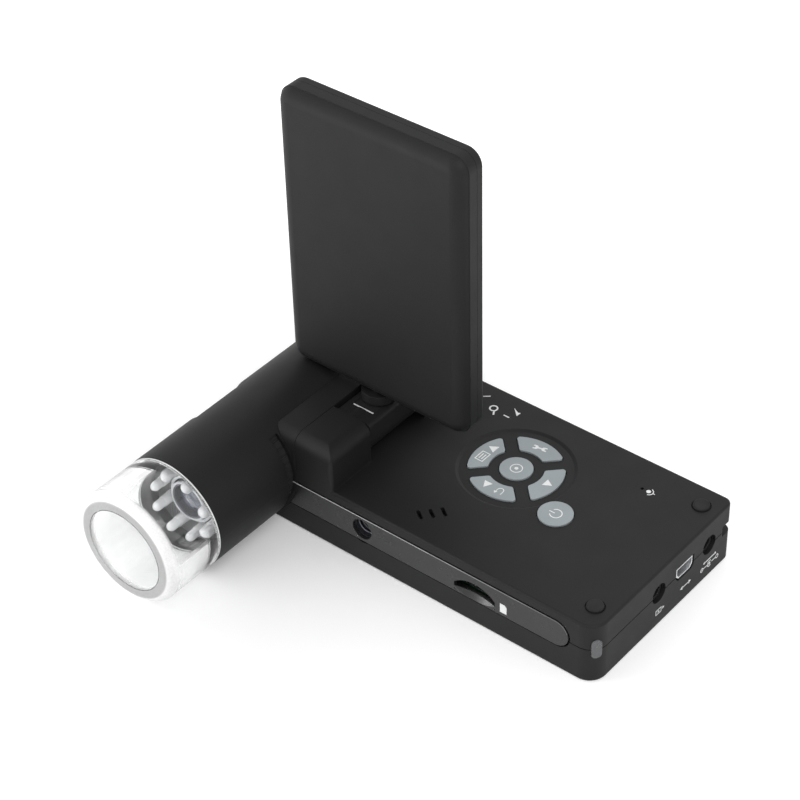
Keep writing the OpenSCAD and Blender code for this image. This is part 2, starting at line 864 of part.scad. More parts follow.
module card_socket() {
    color("#9a9da0") place()
        translate([-card_x - card_w/2 - 0.5, front_wall + 0.6, board_z + board_t])
            difference() {
                cube([card_w + 1, card_len, card_t]);
                translate([0.5, -1, card_t - 1.6]) cube([card_w, card_len, 1]);
            }
}

module board_plan() {
    difference() {
        translate([-wall - board_in, front_wall + board_in]) rrect(board_len, board_w, 2);
        for (p = boss_spots) translate([-p[0], p[1]]) circle(boss_r + 0.5);
        translate([-tripod_x - cradle_w, 0])
            square([1.5*cradle_w + 0.8, front_wall + max(cradle_len, insert_len) + 1]);
        translate([-strap_at, case_w - strap_at]) circle(strap_r + 1.8);
    }
}

module main_board() {
    color("#1f5a33") place() union() {
        translate([0, 0, board_z]) linear_extrude(board_t) board_plan();
        for (c = chip_spots)
            translate([-c[0] - c[2], case_w/2 + c[1], board_z + board_t - eps])
                cube([c[2], c[2], chip_t]);
    }
}

module battery() {
    color("#7a828a") place() translate([-battery_x, battery_y, wall])
        linear_extrude(battery_t) rrect(battery_l, battery_w, 2);
}

module case_screws() {
    color("#4a4a4c") place() for (p = boss_spots) translate([-p[0], p[1], 0]) difference() {
        union() {
            translate([0, 0, screw_seat - screw_head_h]) cylinder(r = screw_head_r, h = screw_head_h);
            translate([0, 0, screw_seat - eps]) cylinder(r = screw_r, h = case_screw_len);
        }
        for (a = [0, 90]) rotate(a) translate([-1.2, -0.25, 0])
            cube([2.4, 0.5, screw_seat - screw_head_h + 0.8]);
    }
}

module jack(y, bore_r) {
    at_port(y) difference() {
        union() {
            translate([-jack_in - jack_len, -jack_w/2, -port_z + board_z + board_t])
                cube([jack_len, jack_w, jack_h]);
            translate([-nose_in, 0, 0]) rod_x(jack_nose_r, jack_in);
        }
        translate([1, 0, 0]) rod_x(bore_r, jack_depth + nose_in + 1);
    }
}

module av_jack() {
    color("#141416") place() jack(av_y, av_bore_r);
}

module power_jack() {
    color("#141416") place() {
        jack(dc_y, dc_bore_r);
        at_port(dc_y) translate([-nose_in - 1.2, 0, 0]) rod_x(dc_pin_r, jack_depth - 1);
    }
}

module usb_socket() {
    color("#c8cacc") place() at_port(usb_y) translate([-usb_len - usb_in, 0, 0])
        rotate([90, 0, 90]) linear_extrude(usb_len) difference() {
            usb_section();
            usb_section(-usb_skin);
        }
}

module usb_tongue() {
    color("#101012") place() at_port(usb_y) {
        translate([-usb_len - usb_in, -usb_w/2 + 1.4, 0.1]) cube([usb_len - 1, usb_w - 2.8, 0.7]);
        translate([-usb_len - usb_in, 0, 0]) rotate([90, 0, 90])
            linear_extrude(1.2) usb_section(-usb_skin - 0.02);
    }
}

module strap_pin() {
    color("#8c8f92") place()
        translate([-strap_pin_at, case_w - strap_pin_at, port_z - strap_h/2])
            cylinder(r = strap_pin_r, h = strap_h);
}

module indicator_lens() {
    color("#8f9396") place()
        at_lens(corner_r - lens_in, corner_r + lens_proud) lens_plan();
}

// ---------------------------------------------------------------- keys

module key(kind) {
    top = kind == 5 ? case_t + key_proud : case_t - dish_depth + key_proud;
    color("#9aa0a6") place() {
        translate([0, 0, key_low]) linear_extrude(flange_t) key_plan(kind, flange_w);
        translate([0, 0, key_low]) linear_extrude(top - key_low) key_plan(kind);
    }
}

module key_down() { key(0); }
module key_setup() { key(1); }
module key_menu() { key(2); }
module key_back() { key(3); }
module key_ok() { key(4); }
module key_power() { key(5); }

module sheet_plan() {
    translate([pillar_right + sheet_margin, -dish_r])
        rrect(pillar_at + pillar_right + 2*sheet_margin, pillar_at + sheet_margin + dish_r, 3);
}

module key_sheet() {
    color("#c9ccc8") place() at_keypad() difference() {
        union() {
            translate([0, 0, sheet_z]) linear_extrude(sheet_t) sheet_plan();
            for (p = dome_spots) translate([p[0], p[1], sheet_z + sheet_t - eps])
                cylinder(r1 = dome_r, r2 = dome_r - 0.5, h = dome_h + eps);
        }
        for (p = pillar_spots) translate([p[0], p[1], sheet_z - 1])
            cylinder(r = pillar_r + 0.1, h = sheet_t + 2);
    }
}

module key_board() {
    color("#2a6b3d") place() at_keypad() difference() {
        translate([0, 0, key_board_z]) linear_extrude(key_board_t) sheet_plan();
        for (p = pillar_spots) translate([p[0], p[1], key_board_z - 1])
            cylinder(r = screw_r + 0.1, h = key_board_t + 2);
    }
}

module key_board_screws() {
    color("#4a4a4c") place() at_keypad() for (p = pillar_spots)
        translate([p[0], p[1], key_board_z]) {
            translate([0, 0, -key_screw_head]) cylinder(r = 1.8, h = key_screw_head);
            translate([0, 0, -eps]) cylinder(r = screw_r, h = key_screw_len);
        }
}

// ---------------------------------------------------------------- top face

module screen_pads() {
    color("#111112") place() for (p = pad_spots)
        translate([-p[0], p[1], case_t - pad_sink]) rotate_extrude() intersection() {
            translate([-pad_r, 0]) slab_section(2*pad_r, pad_sink + pad_h, 0, 0.5);
            square([pad_r, pad_sink + pad_h]);
        }
}

module speaker() {
    color("#3a3b3d") place() translate([-speaker_x, speaker_y, ceiling - speaker_t]) {
        cylinder(r = speaker_r, h = speaker_t - 0.6);
        translate([0, 0, -0.8]) cylinder(r = speaker_r*0.6, h = 0.9);
    }
}

module microphone() {
    color("#a8aaab") place() translate([-mic_x, mic_y, ceiling - mic_t])
        cylinder(r = mic_r, h = mic_t - 0.1);
}

// ---------------------------------------------------------------- lens barrel

module hinge_cover() {
    color("#1e1e20") place() difference() {
        intersection() {
            knuckle_block();
            translate([-case_end - 9, -1, case_t])
                cube([case_end + 9 - knuckle_left - bar_gap, case_w + 2, knuckle_top]);
        }
        saddle_cut();
        translate([-case_end - 10, -1, 0])
            cube([10 + case_end - barrel_reach + cover_end, case_w + 2, knuckle_top + 1]);
    }
}

module barrel_housing() {
    color("#1b1b1d") place() difference() {
        union() {
            at_barrel(-barrel_front) rod_y(barrel_r, barrel_front + barrel_far - barrel_edge);
            at_barrel(barrel_far - barrel_edge) rod_y(barrel_r - barrel_edge, barrel_edge);
            at_barrel(barrel_far - barrel_edge) rotate([-90, 0, 0]) rotate_extrude()
                translate([barrel_r - barrel_edge, 0]) intersection() {
                    circle(barrel_edge);
                    square(barrel_edge);
                }
        }
        at_barrel(-barrel_front - 1) rod_y(focus_bore_r, barrel_front + focus_high + focus_room + 1);
        at_barrel(focus_high) rod_y(rear_bore_r, barrel_far);
        at_barrel(sensor_y) rod_y(sensor_bore_r, barrel_far);
        // window over the focus ring
        at_barrel(0) rotate([-90, 0, 0]) rotate(-window_from - window_span)
            rotate_extrude(angle = window_span)
                polygon([[focus_r - 1, window_low - 1.4], [focus_r - 1, window_high + 1.4],
                         [focus_r, window_high], [barrel_r + 0.3, window_high + window_slope],
                         [barrel_r + 2, window_high + window_slope],
                         [barrel_r + 2, window_low - window_slope],
                         [barrel_r + 0.3, window_low - window_slope], [focus_r, window_low]]);
        // relief beside the case's front side
        at_barrel(-relief_len) rotate([-90, 0, 0]) rotate(-relief_from - relief_span)
            rotate_extrude(angle = relief_span)
                translate([focus_r - 1, 0]) square([barrel_r + 2 - focus_r, relief_len]);
        for (y = barrel_screw_y) translate([-cavity_end - barrel_screw_len, y, barrel_screw_z])
            rotate([0, 90, 0]) cylinder(r = barrel_screw_r + 0.02, h = barrel_screw_len);
    }
}

module barrel_screws() {
    color("#4a4a4c") place() for (y = barrel_screw_y)
        translate([-cavity_end, y, barrel_screw_z]) {
            rod_x(barrel_screw_r, barrel_screw_len - 0.4);
            translate([1.2, 0, 0]) rod_x(2, 1.2);
        }
}

module tail_cap() {
    color("#1b1b1d") place() difference() {
        at_barrel(sensor_y + sensor_t)
            rod_y(sensor_bore_r - seat, barrel_far - sensor_y - sensor_t);
        at_barrel(sensor_y)
            rod_y(sensor_bore_r - seat - tail_wall, barrel_far - sensor_y - tail_t);
    }
}

module focus_ring() {
    color("#242426") place() difference() {
        barrel_tube(focus_low, focus_high, focus_r, ring_bore_r);
        at_barrel(focus_low - 1) for (k = [0:groove_count - 1])
            rotate([0, k*360/groove_count, 0]) translate([focus_r + groove_r*0.4, 0, 0])
                rod_y(groove_r, focus_len + 2);
    }
}

module guide_sleeve() {
    color("#2b2b2d") place() {
        union() {
            barrel_tube(sleeve_low, sleeve_high, focus_bore_r - seat, sleeve_bore_r);
            for (s = [0, 180]) at_barrel(sleeve_low) rotate([0, s, 0])
                translate([sleeve_bore_r - rail_h, 0, -rail_w/2])
                    cube([rail_h + 0.6, sleeve_high - sleeve_low, rail_w]);
        }
    }
}

module lens_carriage() {
    color("#3a3c3e") place() difference() {
        union() {
            at_barrel(focus_y - drum_half) rod_y(drum_r, 2*drum_half);
            at_barrel(flange_y - flange_len/2) rod_y(flange_r, flange_len);
            at_barrel(nose_low + lens_sink/2) rod_y(nose_r - nose_t, focus_y - nose_low);
            at_barrel(flange_y) rod_y(drum_bore_r + 1.4, focus_y - flange_y);
        }
        // light path: lens seat, throat and open rear
        at_barrel(nose_low - 1) rod_y(lens_r + 0.02, lens_sink + lens_t + 1);
        at_barrel(nose_low) rod_y(lens_r - 0.8, flange_y - nose_low);
        at_barrel(flange_y + 1) rod_y(drum_bore_r, focus_y + drum_half - flange_y);
        for (s = [0, 180]) at_barrel(flange_y - flange_len) rotate([0, s, 0])
            translate([sleeve_bore_r - rail_h - 0.3, 0, -rail_w/2 - 0.1])
                cube([rail_h + 1, 2*flange_len, rail_w + 0.2]);
    }
}

// Bright sleeve around the front of the carriage
module lens_nose() {
    color("#c9ccce") place()
        barrel_tube(nose_low, nose_low + nose_len, nose_r, nose_r - nose_t + 0.02);
}

module objective_lens() {
    color([0.8, 0.88, 0.95, 0.5]) place() at_barrel(nose_low + lens_sink) intersection() {
        translate([0, 0.3, 0]) rod_y(lens_r, lens_t - 0.3);
        translate([0, 0.3 + lens_curve, 0]) sphere(lens_curve);
    }
}

module at_leds() {
    for (k = [0:led_count - 1]) at_barrel(led_board_y)
        rotate([0, (k + 0.5)*360/led_count, 0]) translate([led_circle_r, 0, 0]) children();
}

module led_board() {
    color("#26282c") place() barrel_tube(led_board_y, sleeve_low, cap_spigot_r, board_hole_r);
}

module leds() {
    color([0.92, 0.95, 1, 0.8]) place() at_leds() rotate([90, 0, 0]) {
        cylinder(r = led_r + led_rim, h = 0.8);
        cylinder(r = led_r + led_step, h = led_len/2);
        cylinder(r = led_r, h = led_len - led_r);
        translate([0, 0, led_len - led_r]) sphere(led_r);
    }
}

module lens_shroud() {
    color("#c6c9cc") place() at_barrel(led_board_y) rotate([90, 0, 0]) difference() {
        cylinder(r = shroud_r, h = shroud_len);
        translate([0, 0, -1]) cylinder(r = board_hole_r, h = shroud_len + 2);
    }
}

module trim_ring() {
    color("#eceff1") place()
        barrel_tube(-barrel_front - ring_t, -barrel_front, barrel_r - 0.1, cap_spigot_r + 0.3);
}

module clear_cap() {
    tip = cap_len - cap_round;
    color([0.9, 0.95, 1, 0.35]) place() at_barrel(-barrel_front) rotate([90, 0, 0])
        difference() {
            union() {
                translate([0, 0, ring_t]) cylinder(r = barrel_r, h = tip - ring_t);
                translate([0, 0, -cap_spigot]) cylinder(r = cap_spigot_r, h = cap_spigot + 1);
                translate([0, 0, tip]) rotate_extrude() union() {
                    square([cap_tip_r, cap_round]);
                    translate([cap_tip_r, 0]) intersection() {
                        circle(cap_round);
                        square(cap_round);
                    }
                }
            }
            translate([0, 0, -cap_spigot - 1]) cylinder(r = cap_bore_r, h = cap_len + 5);
        }
}

module sensor_board() {
    color("#1f5a33") place() at_barrel(sensor_y) rod_y(sensor_bore_r - seat, sensor_t);
}

module image_sensor() {
    color("#3c4046") place() at_barrel(sensor_y - 1.2)
        translate([-chip_w/2, 0, -chip_w/2]) cube([chip_w, 1.2, chip_w]);
}

// ---------------------------------------------------------------- hinge

module bush_pair() {
    at_hinge(front_knuckle - bush_len) children();
    at_hinge(rear_knuckle) children();
}

module flip_bushes() {
    color("#b08d4a") place() bush_pair() difference() {
        rod_y(bush_r - 0.02, bush_len - 0.1);
        translate([0, -1, 0]) rod_y(flip_pin_r + run_gap, bush_len + 2);
    }
}

module flip_pins() {
    color("#b4b7ba") place() {
        at_hinge(front_knuckle - bush_len - 1) rod_y(flip_pin_r, bush_len + 1 + arm_gap + flip_pin_in);
        at_hinge(arm_high - flip_pin_in) rod_y(flip_pin_r, bush_len + 1 + arm_gap + flip_pin_in);
    }
}

module hinge_arm() {
    color("#1e1e20") place() difference() {
        union() {
            at_hinge(arm_low) rod_y(arm_r, 2*arm_half);
            translate([-hinge_x - arm_r, arm_low, hinge_z])
                cube([2*arm_r, 2*arm_half, arm_top - 1.2]);
            translate([-hinge_x - arm_r + 1.2, arm_low, hinge_z])
                cube([2*arm_r - 2.4, 2*arm_half, arm_top]);
            for (s = [-1, 1]) at_hinge(arm_low) translate([s*(arm_r - 1.2), 0, arm_top - 1.2])
                rod_y(1.2, 2*arm_half);
        }
        for (y = [arm_low - 1, arm_high - flip_pin_in]) at_hinge(y)
            rod_y(flip_pin_r + 0.02, flip_pin_in + 1);
        translate([-hinge_x, swivel_y, hinge_z - arm_r - 1])
            cylinder(r = post_bush_r + 0.02, h = 2*arm_r + 4);
        translate([-hinge_x - plate_w/2 - seat, swivel_y - plate_len/2 - seat,
                   hinge_z + arm_top - plate_t])
            cube([plate_w + 2*seat, plate_len + 2*seat, 2]);
    }
}

module at_swivel(z) { translate([-hinge_x, swivel_y, hinge_z + z]) children(); }

module swivel_plate() {
    color("#0c0c0d") place() difference() {
        translate([-hinge_x - plate_w/2, swivel_y - plate_len/2, hinge_z + arm_top - plate_t])
            cube([plate_w, plate_len, plate_t - 0.1]);
        at_swivel(0) cylinder(r = post_r + 0.3, h = 20);
    }
}

module swivel_bush() {
    color("#b08d4a") place() at_swivel(post_low + clip_t + 0.2) difference() {
        cylinder(r = post_bush_r, h = arm_top - plate_t - post_low - clip_t - 0.3);
        translate([0, 0, -1]) cylinder(r = post_r + run_gap, h = beyond);
    }
}

module swivel_post() {
    color("#b4b7ba") place() at_swivel(post_low)
        cylinder(r = post_r, h = screen_z + post_in_screen - hinge_z - post_low);
}

module swivel_clip() {
    color("#b4b7ba") place() at_swivel(post_low + 0.1) difference() {
        cylinder(r = post_bush_r - 0.1, h = clip_t);
        translate([0, 0, -1]) cylinder(r = post_r, h = clip_t + 2);
    }
}

module swivel_collar() {
    color("#1a1a1c") place() difference() {
        at_swivel(arm_top + collar_gap)
            cylinder(r = collar_r, h = screen_z - hinge_z - arm_top - collar_gap);
        at_swivel(0) cylinder(r = post_r + 0.02, h = beyond);
    }
}

// ---------------------------------------------------------------- screen

// Places its child, drawn flat with its lower edge's middle at the origin and its
// back down, as the standing screen whose back faces the front side
module stand_screen(depth = 0) {
    translate([-screen_mid, screen_y + depth, screen_z]) rotate([90, 0, 0]) mirror([0, 0, 1])
        children();
}

module screen_plan(inset = 0) {
    translate([screen_w/2 - inset, inset])
        rrect(screen_w - 2*inset, screen_h - 2*inset, screen_corner - inset);
}

module screen_corners() {
    x = screen_w/2 - screen_boss_in;
    for (sx = [-x, x], y = [screen_boss_in, screen_h - screen_boss_in])
        translate([sx, y, 0]) children();
}

// Slot in the lower wall for the turning post
module post_slot() {
    translate([-hinge_x, swivel_y, screen_z - 1]) cylinder(r = post_r + 0.2, h = 6);
}

module screen_back() {
    color("#1c1c1e") place() difference() {
        stand_screen() difference() {
            union() {
                difference() {
                    translate([screen_w/2, 0, 0])
                        slab(screen_w, screen_h, back_t, screen_corner, screen_corner, screen_edge, 0);
                    translate([0, 0, screen_wall]) linear_extrude(back_t)
                        screen_plan(screen_wall);
                }
                intersection() {
                    screen_corners() cylinder(r = screen_boss_r, h = back_t - 0.1);
                    translate([screen_w/2, 0, 0])
                        slab(screen_w, screen_h, back_t, screen_corner, screen_corner, screen_edge, 0);
                }
            }
            screen_corners() translate([0, 0, screen_wall]) cylinder(r = screw_r + 0.02, h = back_t);
        }
        post_slot();
    }
}

module screen_bezel() {
    color("#18181a") place() difference() {
        stand_screen(back_t) difference() {
            union() {
                translate([screen_w/2, 0, bezel_seam])
                    slab(screen_w, screen_h, bezel_t - bezel_seam, screen_corner, screen_corner, 0, 1);
            }
            // room for the panel behind, the display opening and the glass seat in front
            translate([0, 0, -1]) linear_extrude(bezel_t) difference() {
                screen_plan(screen_wall);
                screen_corners_plan();
            }
            translate([view_w/2, view_bottom(), 0]) translate([0, 0, -1])
                linear_extrude(bezel_t + 2) rrect(view_w, view_h, 0.5);
            translate([view_w/2 + glass_rim, view_bottom() - glass_rim, bezel_t - glass_t])
                linear_extrude(2) rrect(view_w + 2*glass_rim, view_h + 2*glass_rim, glass_r);
            screen_corners() {
                translate([0, 0, -1]) cylinder(r = screw_r + 0.1, h = bezel_t + 2);
                translate([0, 0, bezel_t - cap_t - 1]) cylinder(r = cap_r + 0.05, h = 3);
            }
        }
        post_slot();
    }
    // web that carries the glass
    color("#18181a") place() stand_screen(back_t) translate([0, 0, bezel_t - glass_t - web_t])
        linear_extrude(web_t) difference() {
            screen_plan(screen_wall - eps);
            translate([view_w/2, view_bottom()]) rrect(view_w, view_h, 0.5);
            screen_corners() circle(cap_r + 0.05);
        }
}

function view_bottom() = (screen_h - view_h)/2 + view_up;

module screen_corners_plan() {
    screen_corners() circle(screen_boss_r);
}

module screen_glass() {
    color([0.05, 0.06, 0.08, 0.6]) place() stand_screen(back_t + bezel_t - glass_t)
        translate([view_w/2 + glass_rim - seat, view_bottom() - glass_rim + seat, 0])
            linear_extrude(glass_t - 0.1)
                rrect(view_w + 2*glass_rim - 2*seat, view_h + 2*glass_rim - 2*seat, glass_r - seat);
}

module lcd_panel() {
    color("#30343a") place() stand_screen(panel_y)
        translate([panel_w/2, view_bottom() - (panel_h - view_h)/2, 0])
            linear_extrude(panel_t) rrect(panel_w, panel_h, 1);
}

module screen_board() {
    color("#1f5a33") place() stand_screen(screen_board_y)
        translate([view_w/2, view_bottom() + board_margin, 0])
            linear_extrude(screen_board_t) rrect(view_w, view_h - 2*board_margin, 1);
}

module screen_bracket() {
    color("#a9acaf") place() difference() {
        translate([-hinge_x - bracket_w/2, swivel_y - bracket_t/2, screen_z + screen_wall + 0.05])
            cube([bracket_w, bracket_t, bracket_h]);
        at_swivel(0) cylinder(r = post_r + 0.02, h = screen_z + post_in_screen - hinge_z + eps);
    }
}

module screen_screws() {
    color("#4a4a4c") place() stand_screen() screen_corners() {
        translate([0, 0, back_t + bezel_t - cap_t - 0.5]) mirror([0, 0, 1])
            cylinder(r = screw_r, h = screen_screw_len);
        translate([0, 0, back_t + bezel_t - cap_t - 1]) cylinder(r = cap_r - 0.2, h = 0.9);
    }
}

module screw_caps() {
    color("#141416") place() stand_screen() screen_corners()
        translate([0, 0, back_t + bezel_t - cap_t - 0.05]) cylinder(r = cap_r, h = cap_t);
}

bottom_case();
top_case();
side_cover();
tripod_insert();
card_socket();
main_board();
battery();
case_screws();
av_jack();
usb_socket();
usb_tongue();
power_jack();
strap_pin();
indicator_lens();
key_menu();
key_setup();
key_down();
key_back();
key_ok();
key_power();
key_sheet();
key_board();
key_board_screws();
screen_pads();
speaker();
microphone();
hinge_cover();
barrel_housing();
barrel_screws();
tail_cap();
focus_ring();
guide_sleeve();
lens_carriage();
lens_nose();
objective_lens();
led_board();
leds();
lens_shroud();
trim_ring();
clear_cap();
sensor_board();
image_sensor();
flip_bushes();
flip_pins();
hinge_arm();
swivel_plate();
swivel_bush();
swivel_post();
swivel_clip();
swivel_collar();
screen_bracket();
screen_back();
screen_bezel();
screen_glass();
lcd_panel();
screen_board();
screen_screws();
screw_caps();
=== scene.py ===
"""Looks of a hand-held digital microscope: finishes, printed signs and small detail.

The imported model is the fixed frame. Lengths are in metres, or in millimetres
where a name or a comment says so. +X runs from the lens barrel to the socket
end, the lens tip points to -Y, and the table is z = 0.
"""
import json
import math

import bmesh
import bpy
from mathutils import Matrix, Vector


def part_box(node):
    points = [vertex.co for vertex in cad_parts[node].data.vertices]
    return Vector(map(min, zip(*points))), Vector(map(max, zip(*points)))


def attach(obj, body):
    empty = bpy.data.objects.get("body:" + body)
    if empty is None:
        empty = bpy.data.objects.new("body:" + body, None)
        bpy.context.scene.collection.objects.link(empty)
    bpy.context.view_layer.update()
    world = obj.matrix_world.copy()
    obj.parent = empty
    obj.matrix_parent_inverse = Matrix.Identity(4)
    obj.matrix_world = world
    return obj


MM = 0.001
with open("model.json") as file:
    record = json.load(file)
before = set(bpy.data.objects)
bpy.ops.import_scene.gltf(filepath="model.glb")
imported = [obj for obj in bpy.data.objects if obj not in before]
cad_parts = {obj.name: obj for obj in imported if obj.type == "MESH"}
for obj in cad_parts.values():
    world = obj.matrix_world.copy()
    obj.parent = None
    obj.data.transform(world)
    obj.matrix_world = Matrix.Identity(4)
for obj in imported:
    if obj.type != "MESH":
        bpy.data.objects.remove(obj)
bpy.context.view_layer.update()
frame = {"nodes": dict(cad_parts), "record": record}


# ---------------------------------------------------------------- materials

class Finish:
    """A node material around one Principled shader, in object coordinates."""

    def __init__(self, name, color, roughness, metallic=0.0):
        self.material = bpy.data.materials.new(name)
        self.material.use_nodes = True
        self.nodes = self.material.node_tree.nodes
        self.links = self.material.node_tree.links
        self.shader = self.nodes["Principled BSDF"]
        self.color = color
        self.set("Base Color", (*color, 1.0))
        self.set("Roughness", roughness)
        self.set("Metallic", metallic)
        self.place = self.nodes.new("ShaderNodeTexCoord").outputs["Object"]

    def set(self, socket, value):
        """Sets a constant on one of the shader's sockets."""
        self.shader.inputs[socket].default_value = value
        return self

    def noise(self, size_mm, detail, stretch=(1, 1, 1)):
        """Noise whose features are about size_mm across, drawn out along an axis by stretch."""
        place = self.place
        if stretch != (1, 1, 1):
            mapping = self.nodes.new("ShaderNodeMapping")
            mapping.inputs["Scale"].default_value = [1/s for s in stretch]
            self.links.new(self.place, mapping.inputs["Vector"])
            place = mapping.outputs["Vector"]
        noise = self.nodes.new("ShaderNodeTexNoise")
        noise.inputs["Scale"].default_value = 1/(size_mm*MM)
        noise.inputs["Detail"].default_value = detail
        self.links.new(place, noise.inputs["Vector"])
        return noise.outputs["Fac"]

    def spread(self, fac, low, high, from_low=0.3, from_high=0.7):
        """Maps from_low..from_high, by default the middle of a noise, to low..high."""
        span = self.nodes.new("ShaderNodeMapRange")
        span.inputs["From Min"].default_value = from_low
        span.inputs["From Max"].default_value = from_high
        span.inputs["To Min"].default_value = low
        span.inputs["To Max"].default_value = high
        self.links.new(fac, span.inputs["Value"])
        return span.outputs["Result"]

    def ramp(self, value, start, end, low=0.0, high=1.0):
        """Runs from low at start to high at end, and stays at them beyond."""
        return self.spread(value, low, high, start, end)

    def math(self, operation, a, b):
        """A Math node on two values, each a number or an output."""
        node = self.nodes.new("ShaderNodeMath")
        node.operation = operation
        for socket, value in zip(node.inputs, (a, b)):
            if isinstance(value, (int, float)):
                socket.default_value = value
            else:
                self.links.new(value, socket)
        return node.outputs[0]

    def grey(self, level):
        """Colour whose three channels follow one value."""
        color = self.nodes.new("ShaderNodeCombineColor")
        for channel in ("Red", "Green", "Blue"):
            self.links.new(level, color.inputs[channel])
        return color.outputs["Color"]

    def coordinate(self, axis):
        """One coordinate, "X", "Y" or "Z", in metres."""
        split = self.nodes.new("ShaderNodeSeparateXYZ")
        self.links.new(self.place, split.inputs["Vector"])
        return split.outputs[axis]

    def from_axis(self, middle):
        """Distance from the line along Y through a point."""
        across = self.nodes.new("ShaderNodeVectorMath")
        across.operation = "SUBTRACT"
        self.links.new(self.place, across.inputs[0])
        across.inputs[1].default_value = middle
        flat = self.nodes.new("ShaderNodeVectorMath")
        flat.operation = "MULTIPLY"
        self.links.new(across.outputs[0], flat.inputs[0])
        flat.inputs[1].default_value = (1, 0, 1)
        length = self.nodes.new("ShaderNodeVectorMath")
        length.operation = "LENGTH"
        self.links.new(flat.outputs[0], length.inputs[0])
        return length.outputs["Value"]

    def cover(self, shader, share):
        """Lays a second shader over the first one, where share is 1."""
        surface = self.nodes["Material Output"].inputs["Surface"]
        mix = self.nodes.new("ShaderNodeMixShader")
        self.links.new(share, mix.inputs["Fac"])
        self.links.new(surface.links[0].from_socket, mix.inputs[1])
        self.links.new(shader, mix.inputs[2])
        self.links.new(mix.outputs["Shader"], surface)
        return self

    def lets_light_in(self, share):
        """Lets a share of the lamps' light straight through, for clear parts."""
        path = self.nodes.new("ShaderNodeLightPath")
        open_way = self.nodes.new("ShaderNodeBsdfTransparent")
        shadow = self.math("MULTIPLY", path.outputs["Is Shadow Ray"], share)
        return self.cover(open_way.outputs["BSDF"], shadow)

    def edges(self, radius_mm):
        """Lets the light see each sharp edge as slightly rounded."""
        bevel = self.nodes.new("ShaderNodeBevel")
        bevel.samples = 4
        bevel.inputs["Radius"].default_value = radius_mm*MM
        last = self.shader.inputs["Normal"]
        while last.is_linked:
            last = last.links[0].from_node.inputs["Normal"]
        self.links.new(bevel.outputs["Normal"], last)
        return self

    def rough(self, fac, low, high):
        """Spreads the roughness over low..high, following fac."""
        self.links.new(self.spread(fac, low, high), self.shader.inputs["Roughness"])
        return self

    def tint(self, fac, share):
        """Lightens and darkens the colour by a share, following fac."""
        mix = self.nodes.new("ShaderNodeMix")
        mix.data_type = "RGBA"
        mix.inputs["A"].default_value = (*[c*(1 - share) for c in self.color], 1.0)
        mix.inputs["B"].default_value = (*[min(1.0, c*(1 + share)) for c in self.color], 1.0)
        self.links.new(self.spread(fac, 0.0, 1.0), mix.inputs["Factor"])
        self.links.new(mix.outputs["Result"], self.shader.inputs["Base Color"])
        return self

    def bump(self, fac, depth_mm, strength):
        """Adds a relief of depth_mm, following fac, to any relief there already."""
        bump = self.nodes.new("ShaderNodeBump")
        bump.inputs["Distance"].default_value = depth_mm*MM
        bump.inputs["Strength"].default_value = strength
        self.links.new(fac, bump.inputs["Height"])
        before = self.shader.inputs["Normal"]
        if before.is_linked:
            self.links.new(before.links[0].from_socket, bump.inputs["Normal"])
        self.links.new(bump.outputs["Normal"], before)
        return self


def soft_touch(name, color):
    """Black plastic under a thin rubbery paint: fine grain, faint clouding."""
    finish = Finish(name, color, 0.55)
    finish.set("Specular IOR Level", 0.25)
    finish.rough(finish.noise(9, 4), 0.55, 0.6)
    finish.tint(finish.noise(22, 5), 0.06)
    finish.bump(finish.noise(0.22, 2), 0.012, 0.6)
    finish.edges(0.25)
    return finish.material


def moulded(name, color, low, high, grain_mm=0.35, depth_mm=0.01):
    """Plain moulded plastic with a light grain."""
    finish = Finish(name, color, low)
    finish.rough(finish.noise(5, 3), low, high)
    finish.tint(finish.noise(12, 3), 0.06)
    finish.bump(finish.noise(grain_mm, 2), depth_mm, 0.5)
    finish.edges(0.2)
    return finish.material


def metal(name, color, low, high, stretch=(1, 1, 1)):
    """Metal with a turned or brushed grain along the drawn-out axis."""
    finish = Finish(name, color, low, metallic=1.0)
    grain = finish.noise(0.5, 3, stretch)
    finish.rough(grain, low, high)
    finish.tint(finish.noise(4, 3), 0.08)
    finish.bump(grain, 0.004, 0.4)
    return finish.material


def ground_end(name, color, node, bore_mm, round_mm):
    """Clear plastic of a cap along Y, with its flat end and its rounding ground matt.

    The flat end's matt is painted darker than the rounding's, as painted shade. The bore, of
    radius bore_mm, and all that lies deeper than the rounding, round_mm, stay clear.
    """
    finish = Finish(name, color, 0.02)
    finish.set("Transmission Weight", 1.0)
    finish.set("IOR", 1.49)
    finish.rough(finish.noise(6, 4), 0.01, 0.05)
    low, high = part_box(node)
    along = finish.coordinate("Y")
    past_end = finish.ramp(along, low.y + 0.05*MM, low.y + 0.2*MM)

    grain = finish.spread(finish.noise(0.5, 4), 0.9, 1.04)
    # Matt grey 0.5 on the flat end against 0.99 on the rounding: painted shade on the flat end
    shade = finish.math("MULTIPLY", finish.ramp(past_end, 0.0, 1.0, 0.5, 0.99), grain)
    matt = finish.nodes.new("ShaderNodeBsdfPrincipled")
    matt.inputs["Roughness"].default_value = 0.5
    finish.links.new(finish.grey(shade), matt.inputs["Base Color"])

    outside = finish.ramp(finish.from_axis((low + high)/2), (bore_mm + 0.15)*MM,
                          (bore_mm + 0.3)*MM)
    fading = finish.ramp(along, low.y + (round_mm - 0.6)*MM, low.y + (round_mm + 0.5)*MM,
                         1.0, 0.0)
    share = finish.math("MULTIPLY", fading, finish.ramp(past_end, 0.0, 1.0, 0.85, 0.9))
    finish.cover(matt.outputs["BSDF"], finish.math("MULTIPLY", outside, share))
    return finish.lets_light_in(0.8).material


def milky(name, color, clearness, roughness):
    """Pale see-through plastic, as on a lamp's lens."""
    finish = Finish(name, color, roughness)
    finish.set("Transmission Weight", clearness)
    finish.set("IOR", 1.45)
    finish.rough(finish.noise(3, 3), roughness - 0.08, roughness + 0.08)
    finish.tint(finish.noise(2, 2), 0.05)
    return finish.material


